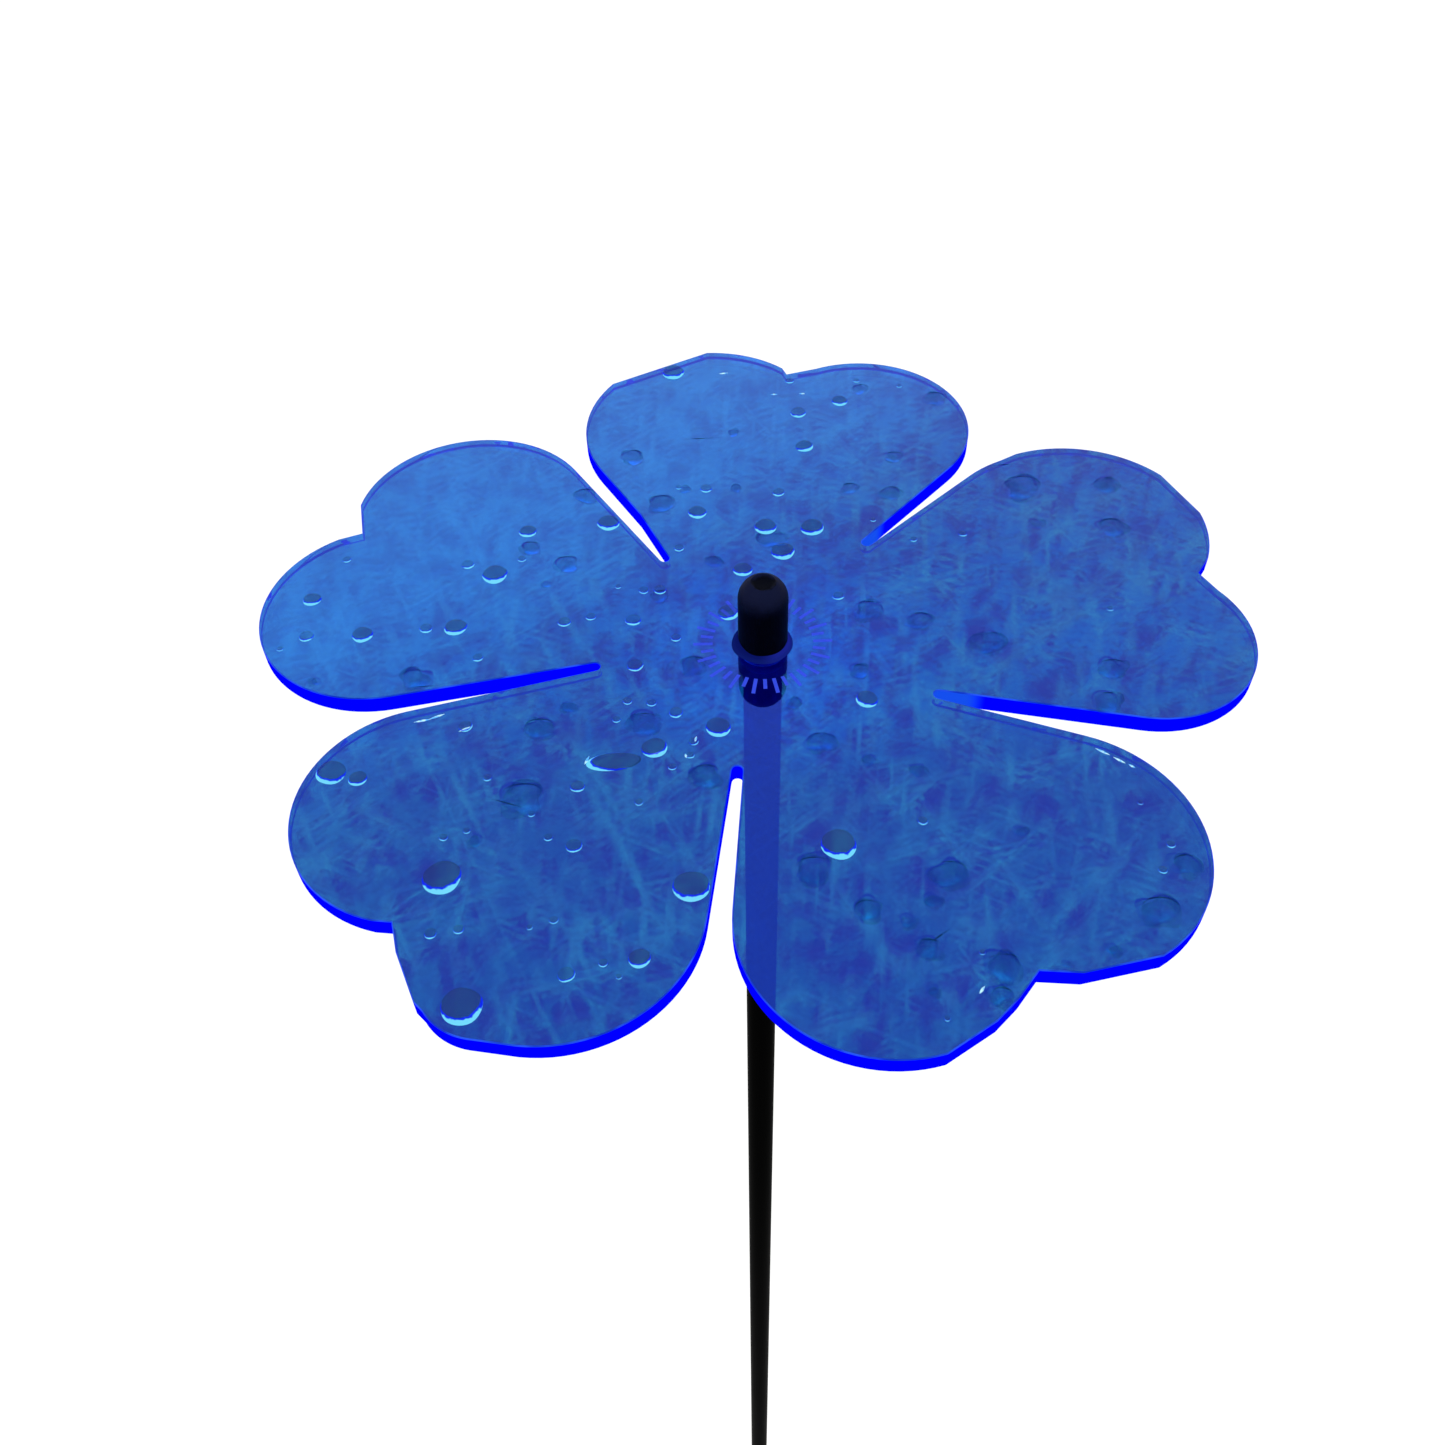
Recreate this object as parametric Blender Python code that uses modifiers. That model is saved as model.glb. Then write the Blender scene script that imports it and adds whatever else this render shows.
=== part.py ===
# Garden sun catcher: a flower cut from clear acrylic sheet, threaded on an upright rod.
# A rubber ring under the flower carries it, and a domed rubber cap over the rod's end keeps it on.
# Metres, +Z up. The origin is the centre of the rod's flat lower end.

import bmesh
import bpy
from math import acos, atan2, ceil, cos, degrees, hypot, radians, sin

MM = 0.001
GAP = 0.3 * MM                  # between pieces that touch

ROD_LENGTH = 750 * MM
ROD_RADIUS = 3 * MM
ROD_CHAMFER = 0.4 * MM

SHEET_THICKNESS = 3 * MM
HUB_HOLE_RADIUS = ROD_RADIUS + GAP

RUBBER_BORE_RADIUS = ROD_RADIUS + 0.25 * MM

CAP_RADIUS = 3.7 * MM
CAP_HEIGHT = 12.05 * MM         # from its open end to the rim of the dimple
CAP_DIMPLE_RADIUS = 1.8 * MM
CAP_DIMPLE_DEPTH = 0.5 * MM
CAP_DIMPLE_FLAT = 0.6           # share of the dimple's radius that its flat floor takes
CAP_DIMPLE_DISH = 0.1           # share of its depth that the floor rises by out there
CAP_EDGE = 0.2 * MM             # rounding of the open end
CAP_BORE_ABOVE_DOME_START = 0.5 * MM

RING_RADIUS = 3.8 * MM
RING_HEIGHT = 3.2 * MM
RING_EDGE = 0.2 * MM

# Degrees between points on arcs
FLOWER_ARC_STEP = 4
SLIT_ARC_STEP = 30
DOME_ARC_STEP = 9
EDGE_ARC_STEP = 45
TURNED_STEPS = 48               # sides of a turned piece

# The flower's outline, anticlockwise, in millimetres and degrees from the hub.
# A slit is the direction and distance of its round inner end.
SLIT_RADIUS = 0.8
SLITS = [(-24.5, 27.5), (51, 27.8), (127.6, 24.3), (189, 25.3), (259.5, 24.8)]

# Each petal starts at the slit in the same place of the list above and ends at the next one.
# It is made of arcs (centre x, centre y, radius, from, to) and corners (x, y), joined by straight cuts.
# None is an end where the arc runs on smoothly into the straight cut.
PETALS = [
    [(57, -1, 16.3, None, 35), (68.3, 12.4), (51.7, 23.6, 20.5, -22, 8), (51.7, 23.6, 20.5, 38, 110),
     (49.8, 22.9, 20, 114, None)],
    [(19.4, 52, 18.4, None, 112), (7.1, 67.6), (-7.3, 55.3, 19.7, 46, 90), (-6.3, 53, 22.4, 144, None),
     (-18.8, 30)],
    [(-46.3, 31.7, 19.2, None, 172), (-64, 27.3), (-58.2, 9.7, 18.8, 120, None)],
    [(-47, -29.5, 18.4, None, 255), (-49.2, -47.6), (-48.1, -52), (-45, -59.2),
     (-36.2, -55.6, 9, 213, 262), (-29.2, -45.3, 20.4, 262, None)],
    [(13.9, -49, 19.8, None, 285), (25.5, -64), (28.6, -61), (31.6, -57.3), (37, -57.8),
     (37.3, -38.5, 19.9, -60, None)],
]

# Heights of the pieces along the rod.
CAP_DOME_START = ROD_LENGTH + GAP - CAP_BORE_ABOVE_DOME_START
DIMPLE_RIM_RISE = (CAP_RADIUS ** 2 - CAP_DIMPLE_RADIUS ** 2) ** 0.5
CAP_BOTTOM = CAP_DOME_START + DIMPLE_RIM_RISE - CAP_HEIGHT
FLOWER_MIDDLE = CAP_BOTTOM - GAP - SHEET_THICKNESS / 2
RING_TOP = FLOWER_MIDDLE - SHEET_THICKNESS / 2 - GAP


def clear_scene():
    for obj in list(bpy.data.objects):
        bpy.data.objects.remove(obj, do_unlink=True)


def make_collection(name):
    collection = bpy.data.collections.new(name)
    bpy.context.scene.collection.children.link(collection)
    return collection


def make_material(name, color, roughness, metallic=0.0, alpha=1.0):
    material = bpy.data.materials.new(name)
    material.use_nodes = True
    shader = material.node_tree.nodes["Principled BSDF"]
    shader.inputs["Base Color"].default_value = (*color, 1.0)
    shader.inputs["Roughness"].default_value = roughness
    shader.inputs["Metallic"].default_value = metallic
    shader.inputs["Alpha"].default_value = alpha
    return material


def arc_points(center_x, center_y, radius, start, end, step):
    """Points along an arc, both ends included. It runs clockwise when end is below start."""
    count = max(2, ceil(abs(end - start) / step))
    angles = [radians(start + (end - start) * i / count) for i in range(count + 1)]
    return [(center_x + radius * cos(a), center_y + radius * sin(a)) for a in angles]


def tangent_angle(arc, point, side):
    """Direction from an arc's centre to where a straight line from the point touches it."""
    center_x, center_y, radius = arc[:3]
    dx, dy = point[0] - center_x, point[1] - center_y
    return degrees(atan2(dy, dx) + side * acos(radius / hypot(dx, dy)))


def slit_points(slit):
    """The round inner end of a slit, from the petal before it to the petal after it."""
    direction, distance = slit
    center_x, center_y = distance * cos(radians(direction)), distance * sin(radians(direction))
    return arc_points(center_x, center_y, SLIT_RADIUS, direction - 90, direction - 270, SLIT_ARC_STEP)


def petal_points(petal, before, after):
    """One petal's points between the slit ends before and after it."""
    path = [before, *petal, after]
    points = []
    for previous, item, following in zip(path, path[1:], path[2:]):
        if len(item) == 2:
            points.append(item)
            continue
        start, end = item[3:]
        if start is None:
            start = tangent_angle(item, previous, 1)
        if end is None:
            end = tangent_angle(item, following, -1)
        points += arc_points(*item[:3], start, start + (end - start) % 360, FLOWER_ARC_STEP)
    return points


def flower_outline():
    slit_ends = [slit_points(slit) for slit in SLITS]
    outline = []
    for i, petal in enumerate(PETALS):
        next_slit = slit_ends[(i + 1) % len(SLITS)]
        outline += petal_points(petal, slit_ends[i][-1], next_slit[0])
        outline += next_slit
    return outline


def add_loop(curve, points):
    spline = curve.splines.new("POLY")
    spline.points.add(len(points) - 1)
    for spline_point, (x, y) in zip(spline.points, points):
        spline_point.co = (x * MM, y * MM, 0, 1)
    spline.use_cyclic_u = True


def make_flower(collection):
    curve = bpy.data.curves.new("flower", "CURVE")
    curve.dimensions = "2D"
    curve.fill_mode = "BOTH"
    curve.extrude = SHEET_THICKNESS / 2
    add_loop(curve, flower_outline())
    add_loop(curve, arc_points(0, 0, HUB_HOLE_RADIUS / MM, 0, 360, 360 / TURNED_STEPS)[:-1])
    flower = bpy.data.objects.new("flower", curve)
    flower.location = (0, 0, FLOWER_MIDDLE)
    curve.materials.append(make_material("blue_acrylic", (0.03, 0.12, 0.6), 0.05, alpha=0.75))
    collection.objects.link(flower)


def make_turned(collection, name, profile, height, material, closed=False):
    """A solid turned about Z from (radius, z) points that run down its outer side."""
    mesh = bpy.data.meshes.new(name)
    bm = bmesh.new()
    verts = [bm.verts.new((radius, 0, z)) for radius, z in profile]
    for first, second in zip(verts, verts[1:]):
        bm.edges.new((first, second))
    if closed:
        bm.edges.new((verts[-1], verts[0]))
    bm.to_mesh(mesh)
    bm.free()
    mesh.materials.append(material)
    piece = bpy.data.objects.new(name, mesh)
    piece.location = (0, 0, height)
    collection.objects.link(piece)
    screw = piece.modifiers.new("turn", "SCREW")
    screw.axis = "Z"
    screw.steps = screw.render_steps = TURNED_STEPS
    screw.use_smooth_shade = True
    screw.use_merge_vertices = True
    screw.merge_threshold = 0.01 * MM


def make_rod(collection):
    end_radius = ROD_RADIUS - ROD_CHAMFER
    profile = [
        (0, ROD_LENGTH), (end_radius, ROD_LENGTH), (ROD_RADIUS, ROD_LENGTH - ROD_CHAMFER),
        (ROD_RADIUS, ROD_CHAMFER), (end_radius, 0), (0, 0),
    ]
    make_turned(collection, "rod", profile, 0, make_material("black_fibreglass", (0.01, 0.01, 0.012), 0.35))


def make_cap(collection, rubber):
    dome_start = CAP_DOME_START - CAP_BOTTOM
    dimple_floor = dome_start + DIMPLE_RIM_RISE - CAP_DIMPLE_DEPTH
    rim_angle = degrees(acos(CAP_DIMPLE_RADIUS / CAP_RADIUS))
    floor_edge = CAP_DIMPLE_FLAT * CAP_DIMPLE_RADIUS
    profile = [(0, dimple_floor), (floor_edge, dimple_floor + CAP_DIMPLE_DISH * CAP_DIMPLE_DEPTH)]
    profile += arc_points(0, dome_start, CAP_RADIUS, rim_angle, 0, DOME_ARC_STEP)
    profile += arc_points(CAP_RADIUS - CAP_EDGE, CAP_EDGE, CAP_EDGE, 0, -90, EDGE_ARC_STEP)
    bore_top = dome_start + CAP_BORE_ABOVE_DOME_START
    profile += [(RUBBER_BORE_RADIUS, 0), (RUBBER_BORE_RADIUS, bore_top), (0, bore_top)]
    make_turned(collection, "end_cap", profile, CAP_BOTTOM, rubber)


def make_ring(collection, rubber):
    outer, low = RING_RADIUS - RING_EDGE, RING_EDGE - RING_HEIGHT
    profile = [(RUBBER_BORE_RADIUS, 0)]
    profile += arc_points(outer, -RING_EDGE, RING_EDGE, 90, 0, EDGE_ARC_STEP)
    profile += arc_points(outer, low, RING_EDGE, 0, -90, EDGE_ARC_STEP)
    profile += [(RUBBER_BORE_RADIUS, -RING_HEIGHT)]
    make_turned(collection, "stop_ring", profile, RING_TOP, rubber, closed=True)


def main():
    clear_scene()
    collection = make_collection("sun_catcher")
    make_rod(collection)
    make_flower(collection)
    make_cap(collection, make_material("cap_rubber", (0.012, 0.012, 0.015), 0.5))
    make_ring(collection, make_material("ring_rubber", (0.015, 0.015, 0.018), 0.6))


main()
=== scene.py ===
import random
from math import cos, pi, radians, sin, sqrt

import bmesh
import bpy
from mathutils import Matrix, Vector


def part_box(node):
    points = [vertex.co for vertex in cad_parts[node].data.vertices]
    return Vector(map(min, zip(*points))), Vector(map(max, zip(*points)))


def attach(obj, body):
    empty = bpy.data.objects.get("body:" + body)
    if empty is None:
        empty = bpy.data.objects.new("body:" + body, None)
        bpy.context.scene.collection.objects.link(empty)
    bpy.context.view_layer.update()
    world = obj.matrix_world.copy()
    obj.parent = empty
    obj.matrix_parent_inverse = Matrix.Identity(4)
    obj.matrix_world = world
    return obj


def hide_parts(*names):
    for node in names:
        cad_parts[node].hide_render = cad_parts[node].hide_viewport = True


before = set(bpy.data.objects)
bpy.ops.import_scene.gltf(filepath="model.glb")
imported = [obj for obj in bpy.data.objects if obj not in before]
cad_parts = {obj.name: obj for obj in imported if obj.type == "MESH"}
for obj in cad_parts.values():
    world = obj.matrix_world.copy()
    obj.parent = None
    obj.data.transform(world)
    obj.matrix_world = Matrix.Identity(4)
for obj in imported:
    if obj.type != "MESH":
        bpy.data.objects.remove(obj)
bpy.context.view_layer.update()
scene = bpy.context.scene
mm = 0.001

flowerLow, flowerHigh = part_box("flower")
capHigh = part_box("end_cap")[1]
faceTop = flowerHigh.z                  # the flower's upper face
faceUnder = flowerLow.z
print("frame loaded")


class Signal:                           # a shader socket that sums can be written with
    def __init__(self, tree, socket=None):
        self.tree = tree
        self.socket = socket

    def make(self, kind, settings=None, sockets=None, output=0):
        node = self.tree.nodes.new("ShaderNode" + kind)
        for name, value in (settings or {}).items():
            setattr(node, name, value)
        for key, value in (sockets or {}).items():
            if isinstance(value, Signal):
                self.tree.links.new(value.socket, node.inputs[key])
            else:
                node.inputs[key].default_value = value
        return Signal(self.tree, node.outputs[output])

    def math(self, operation, first, second=0.0):
        return self.make("Math", {"operation": operation}, {0: first, 1: second})

    def __add__(self, other):
        return self.math("ADD", self, other)

    def __radd__(self, other):
        return self.math("ADD", other, self)

    def __sub__(self, other):
        return self.math("SUBTRACT", self, other)

    def __rsub__(self, other):
        return self.math("SUBTRACT", other, self)

    def __mul__(self, other):
        return self.math("MULTIPLY", self, other)

    def __rmul__(self, other):
        return self.math("MULTIPLY", other, self)

    def root(self):
        return self.math("SQRT", self)

    def larger(self, other):
        return self.math("MAXIMUM", self, other)

    def smooth(self, low, high):        # 0 below low, 1 above high
        return self.make("MapRange", {"interpolation_type": "SMOOTHSTEP"}, {0: self, 1: low, 2: high})

    def blend(self, first, second):     # first colour where this is 0, second where it is 1
        return self.make("Mix", {"data_type": "RGBA"}, {0: self, 6: first, 7: second}, 2)


def newMaterial(name):
    material = bpy.data.materials.new(name)
    material.use_nodes = True
    material.node_tree.nodes.clear()
    return material, Signal(material.node_tree)


def setSurface(graph, shader):
    output = graph.tree.nodes.new("ShaderNodeOutputMaterial")
    graph.tree.links.new(shader.socket, output.inputs["Surface"])


def rgb(red, green, blue):
    return (red, green, blue, 1.0)


def objectPlace(graph):
    return graph.make("TexCoord", {}, {}, "Object")


def placeParts(graph, place):
    apart = graph.make("SeparateXYZ", {}, {0: place})
    return [Signal(graph.tree, apart.socket.node.outputs[axis]) for axis in "XYZ"]


def grain(graph, place, size, shift, turn=0.0, detail=2.0, roughness=0.5, distortion=0.0):
    # noise whose features measure size = (along, across, up), turned about Z
    spot = graph.make("Mapping", {"vector_type": "TEXTURE"}, {
        "Vector": place, "Location": (shift, -shift, 0), "Rotation": (0, 0, radians(turn)), "Scale": size})
    return graph.make("TexNoise", {}, {
        "Vector": spot, "Scale": 1.0, "Detail": detail, "Roughness": roughness, "Distortion": distortion})


def cube(size):
    return (size, size, size)


def addPiece(name, bm, materials):
    # each piece made here turns with the flower
    mesh = bpy.data.meshes.new(name)
    bm.to_mesh(mesh)
    bm.free()
    for material in materials:
        mesh.materials.append(material)
    piece = bpy.data.objects.new(name, mesh)
    scene.collection.objects.link(piece)
    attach(piece, "disc")
    return piece


view = {
    "eye": (-6.37 * mm, -145.15 * mm, 149.3 * mm),      # from the hub on the upper face
    "tilt": 40.94,
    "roll": -1.64,
    "lens": 34.63,
    "sensor": 36.0,
    "nearest": 0.01,
}

studio = {
    "floorRadius": 6.0,
    "floorSides": 96,
    "floorColour": (0.86, 0.86, 0.85),
    "floorRoughness": 0.9,
    "floorShine": 0.1,
    "skyColour": (1.0, 1.0, 1.0),
    "skyStrength": 1.15,
    "lamps": {                          # diameter, place, power
        "keyLight": (1.6, (-1.3, -0.9, 2.4), 12.0),
        "fillLight": (2.0, (1.6, -0.6, 2.0), 5.0),
    },
}


def makeCamera():
    data = bpy.data.cameras.new("camera")
    data.sensor_width = view["sensor"]
    data.lens = view["lens"]
    data.clip_start = view["nearest"]
    camera = bpy.data.objects.new("camera", data)
    eye = Vector((0, 0, faceTop)) + Vector(view["eye"])
    turn = Matrix.Rotation(radians(view["tilt"]), 4, "X") @ Matrix.Rotation(radians(view["roll"]), 4, "Z")
    camera.matrix_world = Matrix.Translation(eye) @ turn
    scene.collection.objects.link(camera)
    scene.camera = camera


def makeLamp(name, size, place, power):
    data = bpy.data.lights.new(name, "AREA")
    data.shape = "DISK"
    data.size = size
    data.energy = power
    lamp = bpy.data.objects.new(name, data)
    lamp.location = place
    aim = Vector((0, 0, faceTop)) - Vector(place)
    lamp.rotation_euler = aim.to_track_quat("-Z", "Y").to_euler()
    scene.collection.objects.link(lamp)


def makeStudio():
    world = bpy.data.worlds.new("studio")
    world.use_nodes = True
    background = world.node_tree.nodes["Background"]
    background.inputs["Color"].default_value = rgb(*studio["skyColour"])
    background.inputs["Strength"].default_value = studio["skyStrength"]
    scene.world = world
    scene.view_settings.view_transform = "Standard"

    bm = bmesh.new()
    bmesh.ops.create_circle(bm, cap_ends=True, segments=studio["floorSides"], radius=studio["floorRadius"])
    mesh = bpy.data.meshes.new("floor")
    bm.to_mesh(mesh)
    bm.free()
    floor = bpy.data.objects.new("floor", mesh)
    scene.collection.objects.link(floor)
    material, graph = newMaterial("paleFloor")
    setSurface(graph, graph.make("BsdfPrincipled", {}, {
        "Base Color": rgb(*studio["floorColour"]), "Roughness": studio["floorRoughness"],
        "Specular IOR Level": studio["floorShine"]}))
    mesh.materials.append(material)
    for name, lamp in studio["lamps"].items():
        makeLamp(name, *lamp)


makeCamera()
makeStudio()
print("camera and studio ready")


# The flower's faces carry painted light: a painted view of soft grass blades and patches of light seen through,
# and painted tints that differ over the sheet, brightest at the far side: far is the far left, near the side
# towards the camera, hub round the middle, and middle the rest.
acrylic = {
    "weldWithin": 0.001 * mm,
    "flatWithin": 0.5,                  # degrees; flatter joins between faces are dissolved
    "rimRound": 0.16 * mm,              # polished-off rim
    "rimSteps": 2,
    "rimProfile": 0.5,
    "sharpFrom": 24,                    # degrees
    "ior": 1.49,
    "roughness": 0.015,
    "mirrorShare": 0.26,
    "mirrorColour": (0.01, 0.075, 0.87),
    "mirrorRoughness": 0.02,
    "specularTint": (0.15, 0.35, 1.0),
    "glow": (0.0, 0.0, 1.0),
    "glowStrength": 0.078,
    "clearFar": (0.018, 0.238, 0.385),
    "clearMiddle": (0.001, 0.102, 0.188),
    "clearHub": (0.0, 0.100, 0.340),
    "clearNear": (0.007, 0.070, 0.050),
    "bladeFar": (0.030, 0.340, 0.520),
    "bladeNear": (0.026, 0.270, 0.190),
    "bladeHub": (0.016, 0.230, 0.480),
    "shade": (0.013, 0.0, 0.004),
    # green patches: part of the painted view of grass seen through the sheet
    "paintedGreenPatch": (0.030, 0.250, 0.170),
    "farLine": (0.8, 0.6),              # how much farness grows with Y and against X
    "farBand": (4 * mm, 48 * mm),
    "nearBand": (4 * mm, 30 * mm),
    "hubBand": (6 * mm, 30 * mm),
    "strokes": [                        # direction, length and width in millimetres, and a shift
        (14, 17, 1.7, 0.3), (41, 19, 1.5, 1.7), (84, 17, 1.6, 3.6), (116, 21, 1.7, 5.2), (152, 16, 1.5, 6.1)],
    "strokeGrain": {"detail": 1.0, "roughness": 0.45, "distortion": 0.12},
    "strokeBand": (0.54, 0.72),
    "strokeShare": (0.68, 0.15),        # and how much less of it at the far side
    "patchGrain": {"size": (11 * mm, 9 * mm, 1.0), "shift": 0.8, "detail": 3.0, "roughness": 0.55,
                   "distortion": 0.6},
    "patchBand": (0.30, 0.60),
    "shadeGrain": {"size": (4.2 * mm, 3.4 * mm, 1.0), "shift": 4.1, "turn": 30, "detail": 3.5,
                   "roughness": 0.62, "distortion": 0.5},
    "shadeBand": (0.43, 0.61),
    "shadeShare": (0.9, 0.5),
    "paintedGreenGrain": {"size": (3.4 * mm, 2.3 * mm, 1.0), "shift": 6.3, "turn": 70, "detail": 2.5,
                  "roughness": 0.6, "distortion": 0.4},
    "paintedGreenBand": (0.50, 0.66),
    "paintedGreenShare": (0.34, 0.26),
    "speckGrain": {"size": (1.3 * mm, 1.1 * mm, 1.0), "shift": 2.3, "roughness": 0.6, "distortion": 0.3},
    "speckBand": (0.48, 0.70),
    "speckShare": (0.42, 0.26),
}

cutEdge = {
    "colour": (0.0, 0.0, 0.02),
    "roughness": 0.4,
    "glow": (0.0, 0.0, 1.0),
    "glowStrength": 1.15,
    "slitGlow": (0.008, 0.085, 0.66),       # paler inner ends of the slits on the right
    "slitShare": 0.8,
    "slitReach": (31 * mm, 34 * mm),
    "slitSide": (8 * mm, 12 * mm),
    "paintedInsideGrain": {"size": cube(9 * mm), "shift": 1.4, "roughness": 0.6, "distortion": 0.4},
    "paintedInsideBand": (0.42, 0.62),
    "paintedInsideShade": (0.02, 0.05, 0.35),         # painted shade and light in patches, seen from inside the sheet
    "paintedInsideLight": (0.10, 0.32, 0.75),
    "caughtGrain": {"size": cube(3.2 * mm), "shift": 3.8, "roughness": 0.6, "distortion": 0.2},
    "caughtBand": (0.60, 0.66),
    "caughtGlow": (0.0, 0.012, 0.95),
}

rim = {
    "colour": (0.0, 0.01, 0.1),
    "roughness": 0.1,
    "shine": 0.02,
    "dark": (0.004, 0.02, 0.42),
    "light": (0.02, 0.08, 0.8),
    "grain": {"size": cube(5 * mm), "shift": 0.9, "roughness": 0.6},
    "band": (0.38, 0.64),
}


def blades(graph, place, turn, length, width, shift):
    # soft straight strokes with tapered ends, all lying one way
    noise = grain(graph, place, (length * mm, width * mm, 1.0), shift, turn, **acrylic["strokeGrain"])
    return noise.smooth(*acrylic["strokeBand"])


def fromHub(alongX, alongY):
    return (alongX * alongX + alongY * alongY).root()


def shareOf(name, farness):
    share, lessFar = acrylic[name]
    return share - lessFar * farness


def dyeTintAndPaintedView(graph, place):
    alongX, alongY, _ = placeParts(graph, place)
    withY, againstX = acrylic["farLine"]
    # farness, nearness and hubness steer a painted gradient of light: the far side paler, the near side darker,
    # bluer round the hub
    farness = (alongY * withY - alongX * againstX).smooth(*acrylic["farBand"])
    nearness = (0.0 - alongY).smooth(*acrylic["nearBand"])
    hubness = 1 - fromHub(alongX, alongY).smooth(*acrylic["hubBand"])
    base = nearness.blend(rgb(*acrylic["clearMiddle"]), rgb(*acrylic["clearNear"]))
    base = farness.blend(base, rgb(*acrylic["clearFar"]))
    base = hubness.blend(base, rgb(*acrylic["clearHub"]))

    # strokes, patches, green patches and specks: a painted view of grass and light seen through the sheet
    lines, *others = [blades(graph, place, *stroke) for stroke in acrylic["strokes"]]
    for other in others:
        lines = lines.larger(other)
    patches = grain(graph, place, **acrylic["patchGrain"]).smooth(*acrylic["patchBand"])
    violet = grain(graph, place, **acrylic["shadeGrain"]).smooth(*acrylic["shadeBand"])
    paintedGreenPatch = grain(graph, place, **acrylic["paintedGreenGrain"]).smooth(*acrylic["paintedGreenBand"])
    specks = grain(graph, place, **acrylic["speckGrain"]).smooth(*acrylic["speckBand"])

    bladeColour = farness.blend(rgb(*acrylic["bladeNear"]), rgb(*acrylic["bladeFar"]))
    bladeColour = hubness.blend(bladeColour, rgb(*acrylic["bladeHub"]))
    tint = (violet * shareOf("shadeShare", farness)).blend(base, rgb(*acrylic["shade"]))
    tint = (lines * patches * shareOf("strokeShare", farness)).blend(tint, bladeColour)
    tint = (paintedGreenPatch * shareOf("paintedGreenShare", farness)).blend(tint, rgb(*acrylic["paintedGreenPatch"]))
    return (specks * shareOf("speckShare", farness)).blend(tint, rgb(*acrylic["shade"]))


def glassShader(graph, tint):
    return graph.make("BsdfPrincipled", {}, {
        "Base Color": tint, "Roughness": acrylic["roughness"], "IOR": acrylic["ior"],
        "Transmission Weight": 1.0, "Specular Tint": rgb(*acrylic["specularTint"]),
        "Emission Color": rgb(*acrylic["glow"]), "Emission Strength": acrylic["glowStrength"]})


def makeFaceMaterial():
    material, graph = newMaterial("acrylicFace")
    glass = glassShader(graph, dyeTintAndPaintedView(graph, objectPlace(graph)))
    mirror = graph.make("BsdfPrincipled", {}, {
        "Base Color": rgb(*acrylic["mirrorColour"]), "Metallic": 1.0, "Roughness": acrylic["mirrorRoughness"]})
    setSurface(graph, graph.make("MixShader", {}, {0: acrylic["mirrorShare"], 1: glass, 2: mirror}))
    return material


def makeEdgeMaterial():
    material, graph = newMaterial("acrylicEdge")
    place = objectPlace(graph)
    alongX, alongY, _ = placeParts(graph, place)
    slitEnd = 1 - fromHub(alongX, alongY).smooth(*cutEdge["slitReach"])
    slitEnd = slitEnd * alongX.smooth(*cutEdge["slitSide"]) * cutEdge["slitShare"]

    def lit(colour, strength):
        return graph.make("BsdfPrincipled", {}, {
            "Base Color": rgb(*cutEdge["colour"]), "Roughness": cutEdge["roughness"],
            "Specular IOR Level": 0.0, "Emission Color": colour, "Emission Strength": strength})

    outside = lit(slitEnd.blend(rgb(*cutEdge["glow"]), rgb(*cutEdge["slitGlow"])), cutEdge["glowStrength"])
    # seen from inside, the cut edge shows painted patches of light and shade, and painted glow spots where light
    # is caught
    paintedInsidePatches = grain(graph, place, **cutEdge["paintedInsideGrain"]).smooth(*cutEdge["paintedInsideBand"])
    clear = glassShader(graph, paintedInsidePatches.blend(rgb(*cutEdge["paintedInsideShade"]), rgb(*cutEdge["paintedInsideLight"])))
    caught = grain(graph, place, **cutEdge["caughtGrain"]).smooth(*cutEdge["caughtBand"])
    inside = graph.make("MixShader", {}, {0: caught, 1: clear, 2: lit(rgb(*cutEdge["caughtGlow"]), 1.0)})
    seenInside = graph.make("NewGeometry", {}, {}, "Backfacing")
    setSurface(graph, graph.make("MixShader", {}, {0: seenInside, 1: outside, 2: inside}))
    return material


def makeRimMaterial():
    material, graph = newMaterial("acrylicRim")
    patch = grain(graph, objectPlace(graph), **rim["grain"]).smooth(*rim["band"])
    setSurface(graph, graph.make("BsdfPrincipled", {}, {
        "Base Color": rgb(*rim["colour"]), "Roughness": rim["roughness"], "Specular IOR Level": rim["shine"],
        "Emission Color": patch.blend(rgb(*rim["dark"]), rgb(*rim["light"])), "Emission Strength": 1.0}))
    return material


def makeFlower():
    bm = bmesh.new()
    bm.from_mesh(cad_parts["flower"].data)
    bmesh.ops.remove_doubles(bm, verts=bm.verts, dist=acrylic["weldWithin"])
    bmesh.ops.dissolve_limit(
        bm, angle_limit=radians(acrylic["flatWithin"]), verts=bm.verts, edges=bm.edges)
    bm.normal_update()
    rims = []
    for edge in bm.edges:
        steepness = [abs(face.normal.z) for face in edge.link_faces]
        if len(steepness) == 2 and abs(steepness[0] - steepness[1]) > 0.9:
            rims.append(edge)           # between a big face and a cut edge
    bmesh.ops.bevel(bm, geom=rims, offset=acrylic["rimRound"], segments=acrylic["rimSteps"],
                    profile=acrylic["rimProfile"], affect="EDGES")
    bm.normal_update()
    for face in bm.faces:
        steep = abs(face.normal.z)
        face.material_index = 0 if steep > 0.99 else 1 if steep < 0.05 else 2
        face.smooth = steep <= 0.99     # the two big faces stay truly flat
    for edge in bm.edges:
        big = [not face.smooth for face in edge.link_faces]
        edge.smooth = big[0] == big[1] and edge.calc_face_angle() < radians(acrylic["sharpFrom"])
    flower = addPiece("flowerSheet", bm, [makeFaceMaterial(), makeEdgeMaterial(), makeRimMaterial()])
    normals = flower.data.attributes.get("custom_normal")
    if normals:                         # the CAD's own shading would bend the flat faces
        flower.data.attributes.remove(normals)
    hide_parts("flower")


makeFlower()
print("flower made")


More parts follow.
